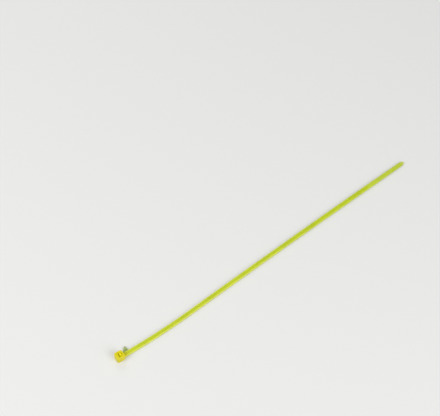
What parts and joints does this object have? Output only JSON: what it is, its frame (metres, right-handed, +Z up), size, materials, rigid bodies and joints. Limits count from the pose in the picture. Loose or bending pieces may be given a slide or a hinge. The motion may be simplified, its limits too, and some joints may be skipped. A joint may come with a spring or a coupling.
{
  "type": "cable tie",
  "caption": "Slim self-locking cable tie in one moulded piece: square head with slot and pawl, long toothed strap, plain tapered tail with a rounded point.",
  "frame": {"origin": "middle of the strap slot on the entry face of the head, in the plane of the toothed face that the tie lies on", "axes": "+X runs along the strap from the head to the tip, +Z points up through the slot from the entry face to the exit face, and +Y is to the left of the strap"},
  "size_m": [0.1992, 0.0201, 0.0038],
  "materials": {
    "nylon": "as moulded, slightly translucent fluorescent yellow nylon with a soft sheen"
  },
  "bodies": {
    "root": {"cable_tie": "nylon"}
  },
  "joints": []
}
